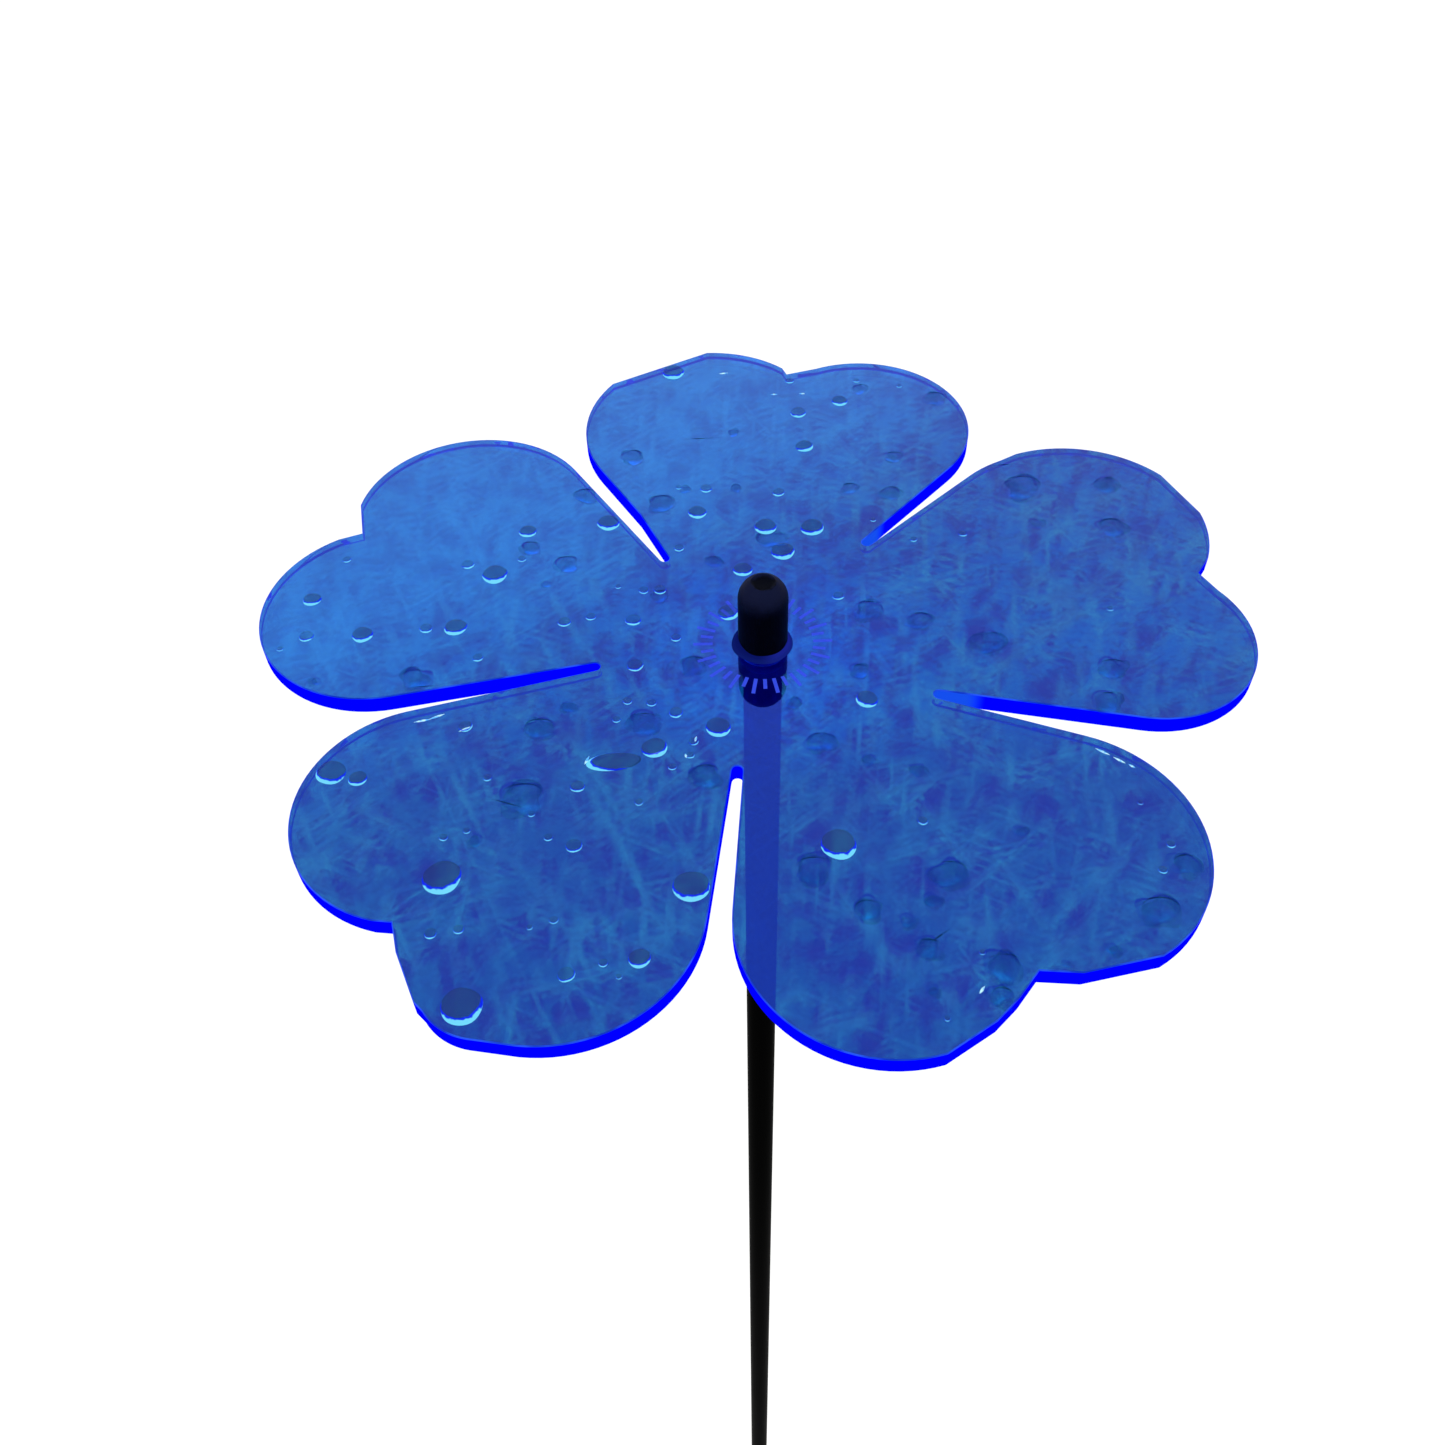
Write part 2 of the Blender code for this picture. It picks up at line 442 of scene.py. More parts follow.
# a ring of engraved ticks round the hub
ticks = {
    "count": 36,
    "inner": 7.5 * mm,
    "long": 2.9 * mm,
    "short": 1.9 * mm,
    "width": 0.56 * mm,
    "topWidth": 0.8,                    # share of the width left at the top
    "clearance": 0.004 * mm,
    "rise": 0.03 * mm,
    "colour": (0.0, 0.006, 0.03),
    "roughness": 0.7,
    "shine": 0.02,
    "dark": (0.030, 0.065, 0.72),
    "light": (0.055, 0.095, 1.0),
    "glowStrength": 0.9,
    "alpha": 0.72,
    "grain": {"size": (0.35 * mm, 0.35 * mm, 1.0), "shift": 0.2},
}


def makeTicks():
    bm = bmesh.new()
    for i in range(ticks["count"]):
        turn = Matrix.Rotation(2 * pi * i / ticks["count"], 4, "Z")
        outer = ticks["inner"] + (ticks["short"] if i % 2 else ticks["long"])
        half = ticks["width"] / 2
        outline = [(ticks["inner"], -half), (outer, -half), (outer, half), (ticks["inner"], half)]
        low = [bm.verts.new(turn @ Vector((x, y, faceTop + ticks["clearance"]))) for x, y in outline]
        high = [bm.verts.new(turn @ Vector((x, y * ticks["topWidth"], faceTop + ticks["rise"])))
                for x, y in outline]
        bm.faces.new(high)
        bm.faces.new(low[::-1])
        for a in range(4):
            b = (a + 1) % 4
            bm.faces.new((low[a], low[b], high[b], high[a]))
    material, graph = newMaterial("frostedEngraving")
    speckle = grain(graph, objectPlace(graph), **ticks["grain"])
    setSurface(graph, graph.make("BsdfPrincipled", {}, {
        "Base Color": rgb(*ticks["colour"]), "Roughness": ticks["roughness"],
        "Specular IOR Level": ticks["shine"],
        "Emission Color": speckle.blend(rgb(*ticks["dark"]), rgb(*ticks["light"])),
        "Emission Strength": ticks["glowStrength"], "Alpha": ticks["alpha"]}))
    piece = addPiece("hubTicks", bm, [material])


makeTicks()
print("ticks made")


# Drops on the sheet are x, y and radius in millimetres from the hub, then how many degrees their bright side
# is turned from the near side, and for a long one its stretch and lean. Drops under it are x, y and radius.
rain = {
    "large": [
        (-60.9, -22.8, 2.1, -20), (-21.7, -22.3, 1.6, -78, 2.4, 6), (-43.5, -41, 2.6, 8), (-39, -60, 2.6, 12),
        (8.5, -37.5, 2.4, 0), (-11, -43.5, 2.4, 0), (-41.5, 16.5, 2.0, 5), (-46.5, 5, 1.7, 0),
        (-60.5, 4, 1.6, 10), (-7, -16.5, 1.8, 0), (-16, -20, 1.8, 25), (-24, 28, 1.8, 0), (-37, 26.5, 1.4, 0),
        (-2.5, 16, 1.5, 0), (1.5, 26, 1.8, 0), (4, 20, 1.9, 15), (9, 25.5, 1.9, 10), (14.5, -12, 1.6, -25),
        (-5, 6.5, 1.6, 30), (16, 59, 1.4, 0), (9, 46.5, 1.5, 25), (-9.5, 30, 1.5, 0), (-57, -24, 1.3, 0),
        (-69.5, 12, 1.4, 0), (-17.5, -54, 1.4, 5), (-13.5, 69, 2.0, 10)],
    "small": [
        (-13, -13.5, 1.0, 0), (-26.5, -36.5, 1.1, 10), (-26.5, -26.5, 1.0, 0), (-69, 4, 1.1, 0),
        (-51, 5, 1.0, 0), (-30, 5.5, 1.0, 0), (-19.5, 5.5, 1.2, 0), (-19, -4, 1.2, 15), (-8, 36, 1.0, 0),
        (12, 9.5, 0.9, 0), (-26.5, -56, 1.1, 25), (-15.5, 12, 1.0, 0), (4, 34.5, 1.0, 0), (8.5, 56, 1.4, 0),
        (-43, -15, 1.0, 30), (-46, 19, 1.0, 25), (-44, -49.5, 0.8, 0), (-16.5, -11.5, 0.7, 0),
        (-20, -11, 0.7, 0), (-21.5, -14.5, 0.6, 0), (-11, -21.5, 0.6, 20), (-10.5, -19, 0.7, 30),
        (-13.5, -23.5, 0.6, 0), (-39, -24.5, 0.6, 0), (-18, -29.5, 0.6, 0), (-44, -34.5, 0.6, 0),
        (-41, -33.5, 0.5, 0), (-30, -35, 0.6, 0), (-40.5, -49, 0.7, 0), (-31.5, -49, 0.4, 15),
        (-28.5, -48, 0.6, 10), (-22, -54.5, 0.6, 0), (-20, -56.5, 0.4, 0), (-32.5, -31, 0.5, 0),
        (20, -34, 0.7, 0), (49.5, -32, 0.4, 0), (52, -39, 0.6, 0), (50, -43, 0.6, 0), (19.5, -63.5, 0.4, 0),
        (25, -54.5, 0.4, 0), (-37.5, 20, 0.7, 0), (-65.5, 21, 0.7, 20), (-42.5, -1.5, 0.8, 20),
        (-72.5, 1.5, 0.5, 0), (-26, 6.5, 0.8, 0), (-22, 13, 0.5, 0), (19.5, 65, 0.6, 0), (27, 63, 0.5, 0),
        (33, 23, 0.7, 10), (25, 22, 0.6, 10), (-12.5, 21.5, 0.8, 0), (-12.5, 36.5, 0.5, 0), (7.5, 65.5, 0.8, 0),
        (-18, 12, 0.8, 0), (-13, 1.5, 0.8, 0), (53, 5, 0.5, 0), (19, 27, 0.5, 0)],
    "under": [
        (-28.5, -12, 1.2), (-32.5, -16, 2.2), (-17.5, -15.5, 2.4), (-34, -28.5, 3.2), (-9, -25.5, 2.3),
        (-40, -35.5, 1.0), (20.5, -25.5, 1.2), (14, -23.5, 1.1), (7.5, -20, 2.1), (53.5, -42.5, 2.0),
        (48.5, -49.5, 2.6), (33, -36.5, 1.0), (5, -41.5, 2.5), (22.5, -43, 2.5), (20, -47, 1.2),
        (11.5, -48, 1.9), (16.5, -50, 1.1), (18.5, -54, 1.7), (27.5, -57, 2.4), (26.5, -61, 1.6),
        (41.5, -55, 0.9), (35.5, -57, 0.6), (18.5, -60, 0.8), (-36.5, 22.5, 1.6), (-28, 35, 2.0),
        (-51.5, -5.5, 2.3), (-66.5, -5.5, 0.8), (-30.5, 18.5, 1.9), (-33.5, 14, 0.8), (-20.5, 45, 2.0),
        (-3, 51, 1.0), (-3, 36, 1.0), (-11.5, 36, 1.0), (16, 35, 1.5), (22.5, 33.5, 1.8), (24, 43, 1.5),
        (20, 62.5, 1.4), (33, 59, 2.0), (-15.5, 32.5, 2.3), (2.5, 23, 2.4), (-7, 18, 1.4), (44.5, 34, 3.2),
        (58.5, 34, 2.1), (57.5, 23.5, 2.3), (45.5, 25, 1.2), (33.5, -1.5, 2.7), (24, 3.5, 2.0), (51, -7.5, 2.1),
        (16.5, 6, 2.4), (14, -6.5, 1.5), (-10.5, -4.5, 2.0), (-15.5, 10.5, 1.4), (4, -12.5, 1.2), (49, -14, 2.2)],
    "wetAngle": 62.0,                   # how steeply a drop meets the sheet
    "wetAngleUnder": 38.0,
    "wobble": 0.05,                     # how far an outline strays from a circle
    "wobbleUnder": 0.30,
    "waves": (2, 3, 4, 5),
    "waveSize": (0.4, 1.0),
    "turnUnder": 25,
    "bentBy": 1.6,                      # the sheet's refraction, along Y
    "rings": (0.0, 0.3, 0.55, 0.72, 0.84, 0.92, 0.97, 1.0),
    "sides": 32,
    "sidesSmall": 16,
    "smallBelow": 1.2,
    "lift": 0.004 * mm,
    "seeds": {"large": 3, "small": 5, "under": 7},
}

bead = {                                # a drop standing on the sheet, with a painted highlight along its near rim, a painted dark far rim and a painted glow over its body
    "middle": (0.5, 0.5),               # its flat foot shows its plain middle
    "show": {"large": 0.26, "small": 0.12},
    "thick": {"large": 0.20, "small": 0.16},
    "colour": (0.003, 0.006, 0.02),
    "roughness": 0.06,
    "shine": 0.02,
    "ragged": {"size": cube(0.8 * mm), "shift": 0.7, "detail": 1.0},
    "bright": (0.17, 0.70, 1.0),
    "brightEdge": (1.015, 1.06),
    "brightRagged": 0.16,
    "blue": (0.0, 0.012, 0.95),
    "blueEdge": (0.90, 0.95),
    "blueRagged": 0.1,
    "blueBehind": 0.03,                 # how much nearer the middle its crescent starts
    "blueAlpha": 0.85,
    "body": (0.020, 0.050, 0.20),
    "farRim": (0.004, 0.012, 0.09),
    "farEdge": (0.90, 0.98),
    "farSide": (0.0, 0.5),
    "farAlpha": 0.55,
}

hanging = {                             # a drop under the sheet: its dome from below, its foot through the sheet, both lit by painted glow, with a painted dark arc and a painted bright glow at the near side
    "colour": (0.01, 0.03, 0.12),
    "roughness": 0.04,
    "ior": 1.33,
    "shine": 0.3,
    "middle": (0.01, 0.06, 0.3),
    "edge": (0.0, 0.01, 0.2),
    "edgeBand": (0.6, 1.0),
    "alpha": (0.3, 0.5),                # in the middle, and how much more at the edge
    "footColour": (0.01, 0.02, 0.05),
    "footRoughness": 0.2,
    "ragged": {"size": cube(1.6 * mm), "shift": 0.7},
    "arcRagged": 0.3,
    "arcBand": (0.80, 0.90),
    "arcSide": (0.1, 0.5),
    "nearGlowRagged": 1.2,
    "nearGlowBand": (0.1, 0.7),
    "nearGlowEnd": (0.75, 0.95),
    "paintedWetGlow": (0.25, 0.60, 0.50),
    "paintedNearGlow": (0.3, 1.5, 4.5),
    "arc": (0.0, 0.0, 0.0),
    "footAlpha": (0.6, 0.35),
}


def addDrop(bm, uvLayer, drop, wetAngle, wobble, side, dice):
    x, y, radius, turn = drop[:4]
    stretch, lean = drop[4:] if len(drop) > 4 else (1.0, 0)
    level = (faceTop + rain["lift"]) if side > 0 else (faceUnder - rain["lift"])
    sides = rain["sides"] if radius > rain["smallBelow"] else rain["sidesSmall"]
    waves = [(k, dice.uniform(0, 2 * pi), dice.uniform(*rain["waveSize"]) * wobble / (k - 0.5))
             for k in rain["waves"]]
    steep = sin(radians(wetAngle))
    flat = cos(radians(wetAngle))
    height = radius * (1 - flat) / steep
    loops = []
    spots = {}
    for share in rain["rings"]:
        loop = []
        rise = height * (sqrt(1 - (share * steep) ** 2) - flat) / (1 - flat)
        for i in range(sides if share else 1):
            angle = 2 * pi * i / sides
            reach = radius * share * (1 + share * sum(size * cos(k * angle + phase) for k, phase, size in waves))
            spot = Matrix.Rotation(radians(lean), 2) @ Vector((stretch * reach * cos(angle), reach * sin(angle)))
            vert = bm.verts.new(((x + spot.x) * mm, (y + spot.y) * mm, level + side * rise * mm))
            turned = angle + radians(lean - turn)
            spots[vert] = (0.5 + 0.5 * share * cos(turned), 0.5 + 0.5 * share * sin(turned))
            loop.append(vert)
        loops.append(loop)
    faces = []
    for inner, outer in zip(loops, loops[1:]):
        for i in range(sides):
            j = (i + 1) % sides
            if len(inner) == 1:
                corners = [inner[0], outer[i], outer[j]]
            else:
                corners = [inner[i], outer[i], outer[j], inner[j]]
            faces.append(bm.faces.new(corners if side > 0 else corners[::-1]))
    foot = bm.faces.new(loops[-1][::-1] if side > 0 else loops[-1])
    foot.material_index = 0 if side > 0 else 1
    for face in faces + [foot]:
        face.smooth = face is not foot
        for corner in face.loops:
            corner[uvLayer].uv = bead["middle"] if face is foot and side > 0 else spots[corner.vert]


def dropCoordinates(graph):
    # across and toward are -1 to 1 over a drop; toward grows to its far side
    across, toward, _ = placeParts(graph, graph.make("TexCoord", {}, {}, "UV"))
    return across * 2.0 - 1.0, toward * 2.0 - 1.0


def fromMiddle(across, toward, middle=0.0):
    # distance from a point on the drop's axis, to cut a crescent out of its outline
    shifted = toward - middle
    return (across * across + shifted * shifted).root()


def makeBeadMaterial(name, show, thick):
    material, graph = newMaterial(name)
    across, toward = dropCoordinates(graph)
    ragged = grain(graph, objectPlace(graph), **bead["ragged"]) - 0.5
    # bright and blue crescents are painted highlights on the near rim; farRim is painted shade on the far rim
    bright = fromMiddle(across, toward, thick) + ragged * bead["brightRagged"]
    bright = bright.smooth(*bead["brightEdge"])
    blue = fromMiddle(across, toward, thick - bead["blueBehind"]) + ragged * bead["blueRagged"]
    blue = blue.smooth(*bead["blueEdge"])
    farRim = fromMiddle(across, toward).smooth(*bead["farEdge"]) * toward.smooth(*bead["farSide"])
    light = farRim.blend(rgb(*bead["body"]), rgb(*bead["farRim"]))
    light = blue.blend(light, rgb(*bead["blue"]))
    light = bright.blend(light, rgb(*bead["bright"]))
    solid = bright.larger(blue * bead["blueAlpha"]).larger(farRim * bead["farAlpha"]).larger(show)
    setSurface(graph, graph.make("BsdfPrincipled", {}, {
        "Base Color": rgb(*bead["colour"]), "Roughness": bead["roughness"], "Specular IOR Level": bead["shine"],
        "Emission Color": light, "Emission Strength": 1.0, "Alpha": solid}))
    return material


def makeUnderDomeMaterial():
    material, graph = newMaterial("rainHanging")
    outward = 1 - graph.make("NewGeometry", {}, {}, "Backfacing")
    # the dome's glow is painted light, darker towards its edge
    edge = fromMiddle(*dropCoordinates(graph)).smooth(*hanging["edgeBand"])
    middleAlpha, edgeAlpha = hanging["alpha"]
    setSurface(graph, graph.make("BsdfPrincipled", {}, {
        "Base Color": rgb(*hanging["colour"]), "Roughness": hanging["roughness"], "IOR": hanging["ior"],
        "Specular IOR Level": hanging["shine"],
        "Emission Color": edge.blend(rgb(*hanging["middle"]), rgb(*hanging["edge"])), "Emission Strength": 1.0,
        "Alpha": outward * (middleAlpha + edgeAlpha * edge)}))
    return material


def makeUnderFootMaterial():
    material, graph = newMaterial("rainWetting")
    outward = 1 - graph.make("NewGeometry", {}, {}, "Backfacing")
    across, toward = dropCoordinates(graph)
    ragged = grain(graph, objectPlace(graph), **hanging["ragged"]) - 0.5
    outer = fromMiddle(across, toward)
    # the arc is painted shade along the far edge; the near side gets a painted bright glow, the rest a fainter
    # painted glow
    arc = (outer + ragged * hanging["arcRagged"]).smooth(*hanging["arcBand"])
    arc = arc * toward.smooth(*hanging["arcSide"])
    paintedNearGlow = ((0.0 - toward) + ragged * hanging["nearGlowRagged"]).smooth(*hanging["nearGlowBand"])
    paintedNearGlow = paintedNearGlow * (1 - outer.smooth(*hanging["nearGlowEnd"]))
    light = paintedNearGlow.blend(rgb(*hanging["paintedWetGlow"]), rgb(*hanging["paintedNearGlow"]))
    plainAlpha, moreAlpha = hanging["footAlpha"]
    setSurface(graph, graph.make("BsdfPrincipled", {}, {
        "Base Color": rgb(*hanging["footColour"]), "Roughness": hanging["footRoughness"],
        "Specular IOR Level": 0.0,
        "Emission Color": arc.blend(light, rgb(*hanging["arc"])), "Emission Strength": 1.0,
        "Alpha": outward * (arc.larger(paintedNearGlow) * moreAlpha + plainAlpha)}))
    return material


def makeRain(name, size, materials):
    dice = random.Random(rain["seeds"][size])
    bm = bmesh.new()
    uvLayer = bm.loops.layers.uv.new("drop")
    for drop in rain[size]:
        if size == "under":
            x, y, radius = drop
            turn = dice.uniform(-rain["turnUnder"], rain["turnUnder"])
            addDrop(bm, uvLayer, (x, y + rain["bentBy"], radius, turn), rain["wetAngleUnder"],
                    rain["wobbleUnder"], -1, dice)
        else:
            addDrop(bm, uvLayer, drop, rain["wetAngle"], rain["wobble"], 1, dice)
    addPiece(name, bm, materials)


makeRain("rainLarge", "large", [makeBeadMaterial("rainBead", bead["show"]["large"], bead["thick"]["large"])])
makeRain("rainSmall", "small", [makeBeadMaterial("rainFineBead", bead["show"]["small"], bead["thick"]["small"])])
makeRain("rainUnder", "under", [makeUnderDomeMaterial(), makeUnderFootMaterial()])
print("rain made")


# thin marks over the wetted spots: painted shade and painted highlights
wet = {
    "filmAngle": 3.0,
    "filmWobble": 0.3,
    "filmReach": 0.98,                  # of the drop under it
    "filmTurn": 30,
    "filmSeed": 23,
    "filmColour": (0.0, 0.003, 0.012),
    "filmGlow": (0.002, 0.035, 0.20),
    "filmRoughness": 0.2,
    "filmGrain": {"size": cube(2.2 * mm), "shift": 0.35},
    "filmRagged": 0.4,
    "filmEdge": (0.72, 0.95),
    "filmSide": (-0.2, 0.7),
    "filmUneven": (0.3, 0.7),
    "filmAlpha": (0.16, 0.09, 0.02),    # at its far edge, in its patches, all over
    "lineRise": 0.012 * mm,
    "lineWidth": 0.2,
    "lineSteps": 14,
    "lineFrom": (15, 60),
    "lineTo": (110, 165),
    "lineReach": (0.88, 1.0),
    "lineBulge": 0.06,
    "lineSmallest": 1.4,
    "lineSeed": 17,
    "lineColour": (0.0, 0.002, 0.01),
    "lineGlow": (0.003, 0.02, 0.09),
    "lineRoughness": 0.3,
    "lineGrain": {"size": cube(1.1 * mm), "shift": 0.5, "detail": 1.0},
    "lineBreaks": (0.34, 0.56),
    "lineAlpha": (0.62, 0.05),
    "ribbonTip": 0.12,                  # least share of the width, at a ribbon's ends
    "ribbonFoot": 0.3,                  # share of the rise that its lower side stands off the sheet
    "streakRise": 0.036 * mm,
    "streakWidth": 0.34,
    "streakColour": (0.01, 0.03, 0.1),
    "streakRoughness": 0.1,
    "streakShine": 0.05,
    "streakDark": (0.10, 0.45, 1.0),
    "streakLight": (0.55, 0.9, 1.0),
    "streakGrain": {"size": cube(0.5 * mm), "shift": 0.9, "detail": 1.0},
    "streakBand": (0.35, 0.6),
    # dark hair lines and bright streaks: middle x and y, length, direction
    "dashes": [
        (-8.5, 49.5, 6.0, 2), (42, 40, 4.0, 5), (-50, -7, 3.2, 4), (20, -52, 3.0, 35), (-36, -29, 4.5, -20)],
    "streaks": [
        (-49.3, -13.7, 2.4, 12), (-47.3, -13.0, 2.3, 24), (46.2, -23.0, 2.2, -36), (48.2, -24.6, 1.8, -39),
        (49.7, -25.7, 1.0, -42), (-43.0, -15.5, 1.9, 28), (-15.6, -21.0, 2.6, 16), (-25.4, -21.9, 1.6, 68),
        (-10.2, -18.6, 1.0, 75), (-11.6, -21.6, 0.8, 100), (24.2, -59.8, 1.3, 52), (-4.4, 68.3, 1.6, 8),
        (4.5, 61.5, 1.2, 0), (9.5, 61.5, 1.0, -4)],
}


def addRibbon(bm, points, width, rise):
    # a flat tapered ribbon on the sheet, in millimetres from the hub
    rows = []
    last = len(points) - 1
    for i, point in enumerate(points):
        ahead = points[min(i + 1, last)] - points[max(i - 1, 0)]
        half = width * 0.5 * max(wet["ribbonTip"], sin(pi * i / last))
        side = Vector((-ahead.y, ahead.x)).normalized() * half
        rows.append([bm.verts.new((corner.x * mm, corner.y * mm, faceTop + height))
                     for height in (rise, wet["ribbonFoot"] * rise) for corner in (point + side, point - side)])
    for first, second in zip(rows, rows[1:]):
        for a, b in ((0, 1), (1, 3), (3, 2), (2, 0)):
            bm.faces.new((first[a], first[b], second[b], second[a]))
    for row in (rows[0], rows[-1]):
        bm.faces.new((row[0], row[1], row[3], row[2]))


def straight(x, y, length, direction):
    along = Vector((cos(radians(direction)), sin(radians(direction))))
    steps = wet["lineSteps"]
    return [Vector((x, y)) + along * length * (i / steps - 0.5) for i in range(steps + 1)]


def finishMarks(name, bm, material):
    bmesh.ops.recalc_face_normals(bm, faces=bm.faces)
    addPiece(name, bm, [material])


def makePaintedShadeFilm():
    # a flat film on the upper face over each wetted spot, which darkens it a little: painted shade, darkest at
    # its far edge
    dice = random.Random(wet["filmSeed"])
    bm = bmesh.new()
    uvLayer = bm.loops.layers.uv.new("drop")
    for x, y, radius in rain["under"]:
        spot = (x, y, radius * wet["filmReach"], dice.uniform(-wet["filmTurn"], wet["filmTurn"]))
        addDrop(bm, uvLayer, spot, wet["filmAngle"], wet["filmWobble"], 1, dice)
    material, graph = newMaterial("paintedShadeFilm")
    across, toward = dropCoordinates(graph)
    uneven = grain(graph, objectPlace(graph), **wet["filmGrain"])
    outer = fromMiddle(across, toward) + (uneven - 0.5) * wet["filmRagged"]
    edge = outer.smooth(*wet["filmEdge"]) * toward.smooth(*wet["filmSide"])
    edgeAlpha, patchAlpha, leastAlpha = wet["filmAlpha"]
    setSurface(graph, graph.make("BsdfPrincipled", {}, {
        "Base Color": rgb(*wet["filmColour"]), "Roughness": wet["filmRoughness"], "Specular IOR Level": 0.0,
        "Emission Color": rgb(*wet["filmGlow"]), "Emission Strength": 1.0,
        "Alpha": edge * edgeAlpha + uneven.smooth(*wet["filmUneven"]) * patchAlpha + leastAlpha}))
    finishMarks("paintedShadeFilm", bm, material)


def makeWetLines():
    # the far edge of each wetted spot under the sheet shows as a dark arc of painted shade
    dice = random.Random(wet["lineSeed"])
    bm = bmesh.new()
    steps = wet["lineSteps"]
    for x, y, radius in rain["under"]:
        start = dice.uniform(*wet["lineFrom"])
        end = dice.uniform(*wet["lineTo"])
        reach = dice.uniform(*wet["lineReach"])
        if radius < wet["lineSmallest"]:
            continue
        points = []
        for i in range(steps + 1):
            angle = radians(start + (end - start) * i / steps)
            bulge = 1 + wet["lineBulge"] * sin(3 * angle)
            points.append(Vector((x, y)) + radius * reach * bulge * Vector((cos(angle), sin(angle))))
        addRibbon(bm, points, wet["lineWidth"], wet["lineRise"])
    for dash in wet["dashes"]:
        addRibbon(bm, straight(*dash), wet["lineWidth"], wet["lineRise"])
    material, graph = newMaterial("wetHairLine")
    broken = grain(graph, objectPlace(graph), **wet["lineGrain"]).smooth(*wet["lineBreaks"])
    moreAlpha, leastAlpha = wet["lineAlpha"]
    setSurface(graph, graph.make("BsdfPrincipled", {}, {
        "Base Color": rgb(*wet["lineColour"]), "Roughness": wet["lineRoughness"], "Specular IOR Level": 0.0,
        "Emission Color": rgb(*wet["lineGlow"]), "Emission Strength": 1.0,
        "Alpha": broken * moreAlpha + leastAlpha}))
    finishMarks("wetLines", bm, material)


def makeStreaks():
    bm = bmesh.new()
    for streak in wet["streaks"]:
        addRibbon(bm, straight(*streak), wet["streakWidth"], wet["streakRise"])
    material, graph = newMaterial("brightStreak")
    # bright streaks: painted highlights glinting along the water
    spark = grain(graph, objectPlace(graph), **wet["streakGrain"]).smooth(*wet["streakBand"])
    setSurface(graph, graph.make("BsdfPrincipled", {}, {
        "Base Color": rgb(*wet["streakColour"]), "Roughness": wet["streakRoughness"],
        "Specular IOR Level": wet["streakShine"],
        "Emission Color": spark.blend(rgb(*wet["streakDark"]), rgb(*wet["streakLight"])),
        "Emission Strength": 1.0}))
    finishMarks("wetStreaks", bm, material)


makePaintedShadeFilm()
makeWetLines()
makeStreaks()
print("wet marks made")


# water held round the foot of the cap
collar = {
    "reach": 0.8 * mm,                  # out from the cap's side
    "height": 1.35 * mm,                # up the cap's side
    "dip": 0.35,                        # how much lower it is on the near side
    "waves": (1, 2, 3, 5),
    "waveSize": (0.04, 0.1),
    "steps": 8,
    "sides": 72,
    "clearance": 0.03 * mm,
    "lift": 0.008 * mm,
    "seed": 11,
    "colour": (0.002, 0.004, 0.03),
    "roughness": 0.08,
    # painted light: a navy glow on the left, paler on the right side, and another glow at the foot
    "left": (0.0008, 0.003, 0.085),
    "right": (0.007, 0.012, 0.22),
    "rightSide": (-1.0 * mm, 2.5 * mm),
    "foot": (0.002, 0.008, 0.13),
    "footHeight": 0.45 * mm,
    "footShare": 0.5,
}


def makeCollar():
    dice = random.Random(collar["seed"])
    inner = capHigh.x + collar["clearance"]
    bottom = faceTop + collar["lift"]
    waves = [(k, dice.uniform(0, 2 * pi), dice.uniform(*collar["waveSize"])) for k in collar["waves"]]
    bm = bmesh.new()
    loops = []
    for i in range(collar["sides"]):
        angle = 2 * pi * i / collar["sides"]
        swell = 1 + sum(size * cos(k * angle + phase) for k, phase, size in waves)
        climb = 1 + collar["dip"] * sin(angle)
        loop = []
        for j in range(collar["steps"] + 1):
            bend = 0.5 * pi * j / collar["steps"]
            radius = inner + collar["reach"] * swell * (1 - cos(bend))
            rise = collar["height"] * climb * swell * (1 - sin(bend))
            loop.append(bm.verts.new((radius * cos(angle), radius * sin(angle), bottom + rise)))
        loop.append(bm.verts.new((inner * cos(angle), inner * sin(angle), bottom)))
        loops.append(loop)
    for first, second in zip(loops, loops[1:] + loops[:1]):
        for j in range(len(first)):
            k = (j + 1) % len(first)
            face = bm.faces.new((first[j], first[k], second[k], second[j]))
            face.smooth = j < collar["steps"]
    bmesh.ops.recalc_face_normals(bm, faces=bm.faces)
    material, graph = newMaterial("collarWater")
    alongX, _, height = placeParts(graph, objectPlace(graph))
    # painted light: paler on the right, with a different glow low at the foot
    low = (1 - height.smooth(faceTop, faceTop + collar["footHeight"])) * collar["footShare"]
    body = alongX.smooth(*collar["rightSide"]).blend(rgb(*collar["left"]), rgb(*collar["right"]))
    setSurface(graph, graph.make("BsdfPrincipled", {}, {
        "Base Color": rgb(*collar["colour"]), "Roughness": collar["roughness"], "Specular IOR Level": 0.0,
        "Emission Color": low.blend(body, rgb(*collar["foot"])), "Emission Strength": 1.0}))
    addPiece("waterCollar", bm, [material])


makeCollar()
print("water collar made")


rubber = {
    "dark": (0.00028, 0.00035, 0.00112),
    "light": (0.0006, 0.00075, 0.0024),
    "crown": (0.0042, 0.0062, 0.024),       # paler top: painted light from above
    # darker dimple in the top: painted shade
    "hollow": (0.001, 0.0015, 0.004),
    "specularTint": (0.6, 0.6, 1.0),
    "finish": {"capRubber": (0.4, 0.02), "ringRubber": (0.6, 0.2)},     # roughness and shine
    "roughnessSpread": 0.16,
    "skin": {"size": cube(0.25 * mm), "shift": 0.1, "detail": 3.0},
    "dull": {"size": cube(1.6 * mm), "shift": 0.6},
    "bump": (0.12, 0.05 * mm),
    "crownBelowTop": (4.2 * mm, 1.0 * mm),
    "crownRagged": 1.5 * mm,
    "hollowEdge": (1.2 * mm, 1.9 * mm),
    "hollowRagged": 2.2 * mm,
}

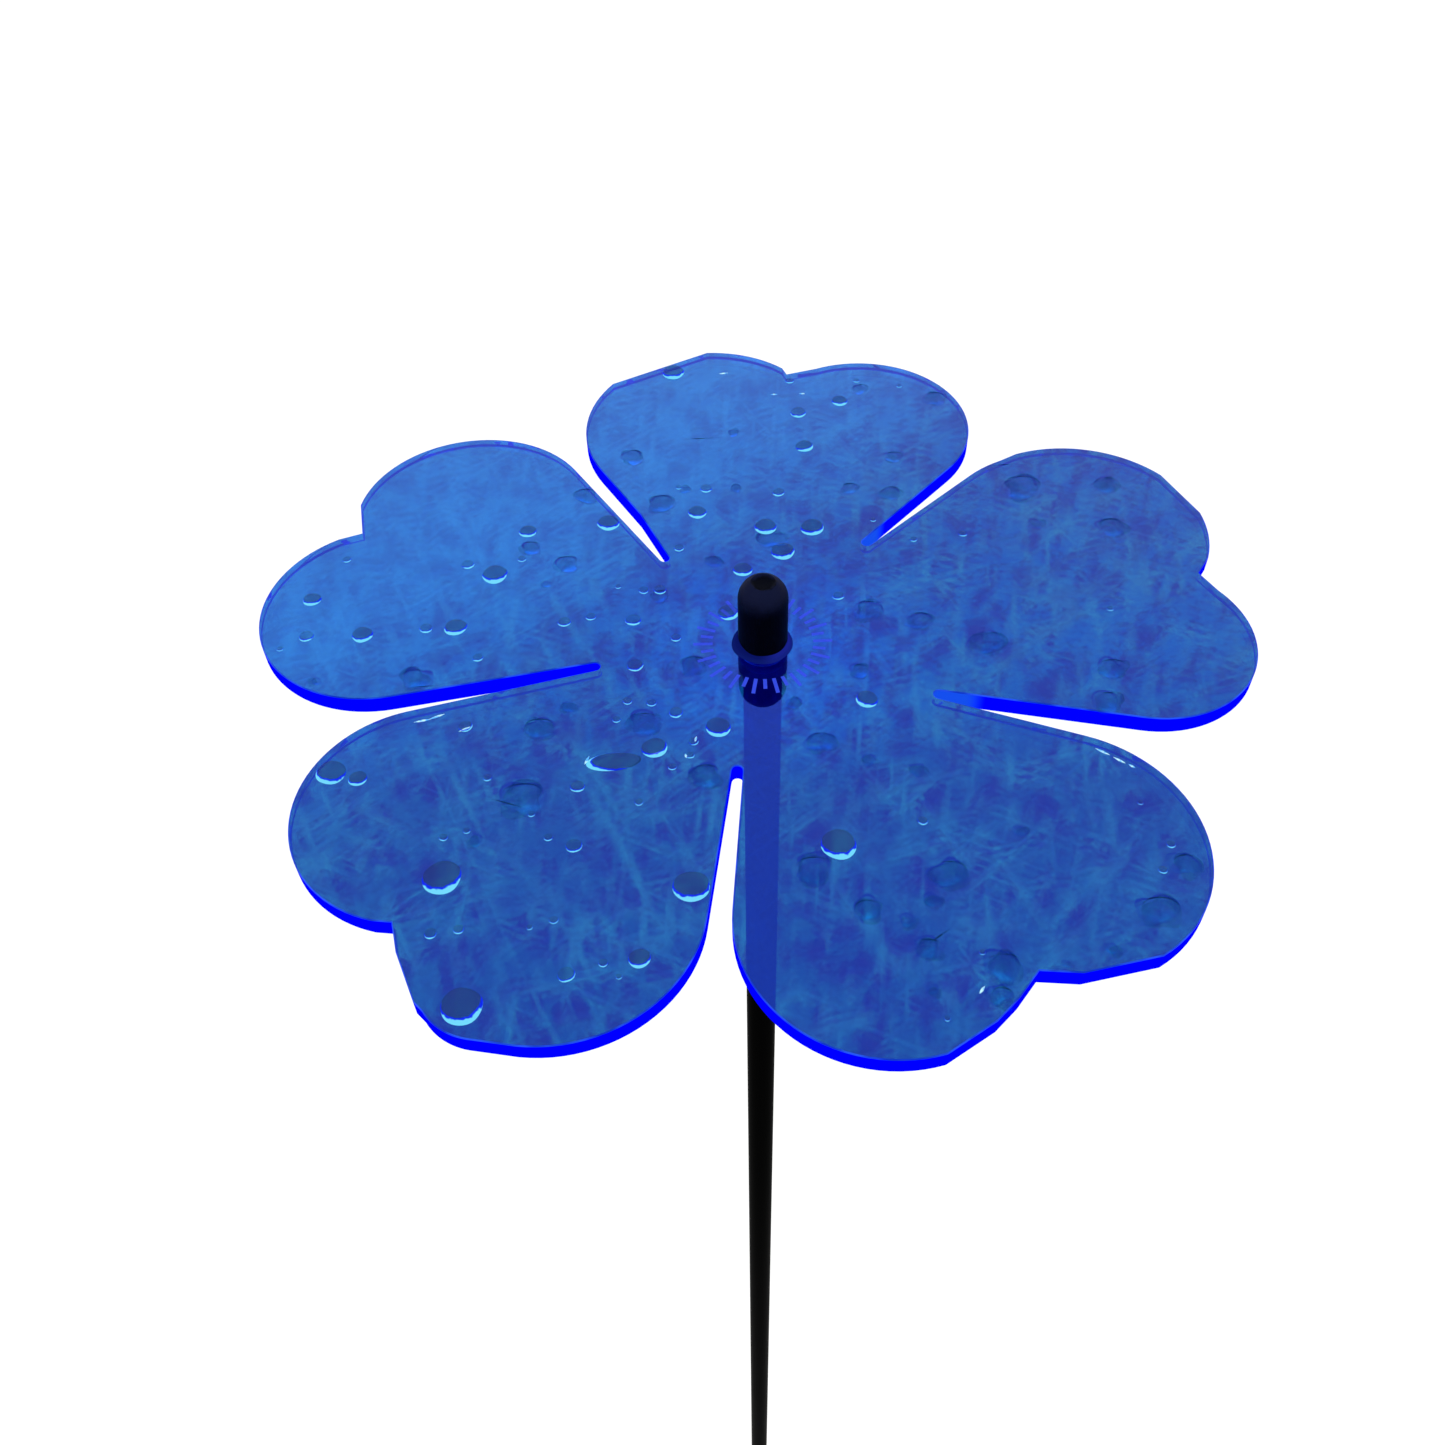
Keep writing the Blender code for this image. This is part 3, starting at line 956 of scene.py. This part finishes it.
fibreglass = {
    "dark": (0.0002, 0.0002, 0.0002),
    "light": (0.0009, 0.0009, 0.0009),
    "roughness": 0.22,
    "roughnessSpread": 0.2,
    "shine": 0.0005,
    "fibres": {"size": (0.22 * mm, 0.22 * mm, 22 * mm), "shift": 0.4, "detail": 3.0},
    "bump": (0.2, 0.03 * mm),
}


def bumpFrom(graph, height, strength, distance):
    return graph.make("Bump", {}, {"Strength": strength, "Distance": distance, "Height": height})


def makeRubber(name):
    material, graph = newMaterial(name)
    place = objectPlace(graph)
    alongX, alongY, height = placeParts(graph, place)
    skin = grain(graph, place, **rubber["skin"])
    dull = grain(graph, place, **rubber["dull"])
    crownStart, crownFull = rubber["crownBelowTop"]
    # the top is painted paler as lit from above, and its dimple darker as painted shade
    crown = height + (dull - 0.5) * rubber["crownRagged"]
    crown = crown.smooth(capHigh.z - crownStart, capHigh.z - crownFull)
    fromAxis = fromHub(alongX, alongY) + (dull - 0.5) * rubber["hollowRagged"]
    hollow = (1 - fromAxis.smooth(*rubber["hollowEdge"])) * crown
    body = crown.blend(dull.blend(rgb(*rubber["dark"]), rgb(*rubber["light"])), rgb(*rubber["crown"]))
    roughness, shine = rubber["finish"][name]
    spread = rubber["roughnessSpread"]
    setSurface(graph, graph.make("BsdfPrincipled", {}, {
        "Base Color": hollow.blend(body, rgb(*rubber["hollow"])),
        "Roughness": dull * spread + (roughness - spread / 2), "Specular IOR Level": shine,
        "Specular Tint": rgb(*rubber["specularTint"]), "Normal": bumpFrom(graph, skin, *rubber["bump"])}))
    return material


def makeRodMaterial():
    material, graph = newMaterial("blackFibreglass")
    fibres = grain(graph, objectPlace(graph), **fibreglass["fibres"])
    setSurface(graph, graph.make("BsdfPrincipled", {}, {
        "Base Color": fibres.blend(rgb(*fibreglass["dark"]), rgb(*fibreglass["light"])),
        "Roughness": fibres * fibreglass["roughnessSpread"] + fibreglass["roughness"],
        "Specular IOR Level": fibreglass["shine"],
        "Normal": bumpFrom(graph, fibres, *fibreglass["bump"])}))
    return material


def giveMaterial(node, material):
    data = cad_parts[node].data
    data.materials.clear()
    data.materials.append(material)


giveMaterial("end_cap", makeRubber("capRubber"))
giveMaterial("stop_ring", makeRubber("ringRubber"))
giveMaterial("rod", makeRodMaterial())
print("rubber and rod done")
